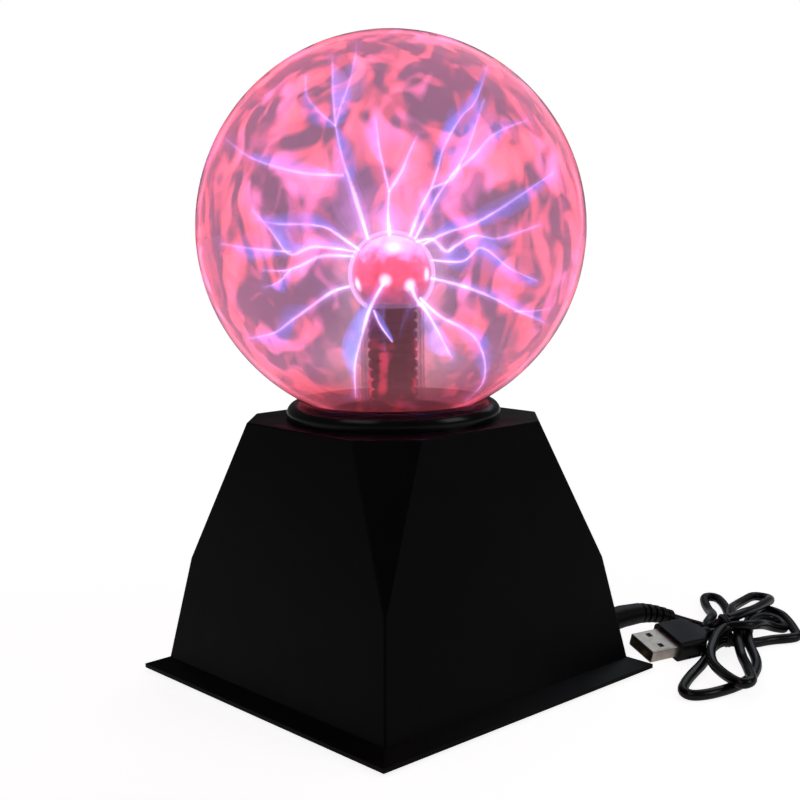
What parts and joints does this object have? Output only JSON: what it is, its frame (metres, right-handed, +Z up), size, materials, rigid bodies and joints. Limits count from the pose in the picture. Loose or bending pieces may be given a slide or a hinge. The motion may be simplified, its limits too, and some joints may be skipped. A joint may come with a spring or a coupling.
{
  "type": "plasma ball",
  "caption": "Plasma ball: clear gas-filled glass globe with a lit electrode, on a faceted pyramid base with sound control and a USB power cable.",
  "frame": {"origin": "centre of the base, on the surface it stands on", "axes": "+Z up; +Y out of the rear face with the power inlet, the switch and the microphone; the globe's axis is Z"},
  "size_m": [0.1641, 0.225, 0.2135],
  "materials": {
    "globe_glass": "clear blown glass",
    "stem_glass": "clear glass tube",
    "sleeve": "black ribbed sleeve",
    "wool": "fine steel wool",
    "wire": "insulated wire",
    "gasket": "soft rubber",
    "base_plastic": "black satin moulded plastic",
    "collar_plastic": "black polished moulded plastic",
    "inner_plastic": "black moulded plastic",
    "screw_steel": "zinc plated screws",
    "foot_rubber": "rubber pads",
    "board": "green circuit board",
    "ferrite": "grey ferrite",
    "coil": "yellow taped winding",
    "transistor": "black package",
    "sink_metal": "extruded aluminium",
    "capacitor": "sleeved can",
    "film_cap": "dipped film capacitor",
    "resistor": "axial resistors",
    "chip": "black package",
    "mic_metal": "microphone capsule",
    "jack_plastic": "black inlet body",
    "nickel": "nickel plate",
    "switch_plastic": "black slider",
    "plug_rubber": "black moulded plug",
    "cord_rubber": "black glossy cable jacket",
    "tie": "black tie",
    "usb_steel": "nickel plated steel shell",
    "usb_insulator": "black insulator",
    "gold": "gold plated contacts"
  },
  "bodies": {
    "base": {"outer_globe": "globe_glass", "inner_stem": "stem_glass", "exhaust_tip": "stem_glass", "core_sleeve": "sleeve", "steel_wool": "wool", "electrode_wire": "wire", "globe_gasket": "gasket", "collar_ring": "collar_plastic", "base_shell": "base_plastic", "bottom_plate": "inner_plastic", "bottom_screws": "screw_steel", "rubber_feet": "foot_rubber", "neck_clamp": "inner_plastic", "clamp_screws": "screw_steel", "circuit_board": "board", "board_screws": "screw_steel", "transformer_core": "ferrite", "transformer_coil": "coil", "power_transistor": "transistor", "heat_sink": "sink_metal", "heat_sink_screw": "screw_steel", "electrolytic_capacitors": "capacitor", "film_capacitor": "film_cap", "resistors": "resistor", "timer_chip": "chip", "microphone": "mic_metal", "microphone_grommet": "gasket", "dc_jack_body": "jack_plastic", "dc_jack_pin": "nickel", "jack_nut": "nickel", "switch_body": "jack_plastic", "switch_screws": "screw_steel", "jack_wires": "wire", "switch_wires": "wire"},
    "switch_knob": {"switch_slider": "switch_plastic"},
    "plug_cable": {"plug_barrel": "nickel", "plug_overmold": "plug_rubber", "cord_lead": "cord_rubber", "cord_hank": "cord_rubber", "twist_tie": "tie", "usb_overmold": "plug_rubber", "usb_shell": "usb_steel", "usb_tongue": "usb_insulator", "usb_contacts": "gold"}
  },
  "joints": [
    {"name": "switch_slide", "type": "slide", "parent": "base", "child": "switch_knob", "axis": [1, 0, 0], "range_m": [-0.0025, 0.0025]},
    {"name": "plug_pull", "type": "slide", "parent": "base", "child": "plug_cable", "axis": [0, 1, 0], "range_m": [0, 0.015]}
  ]
}
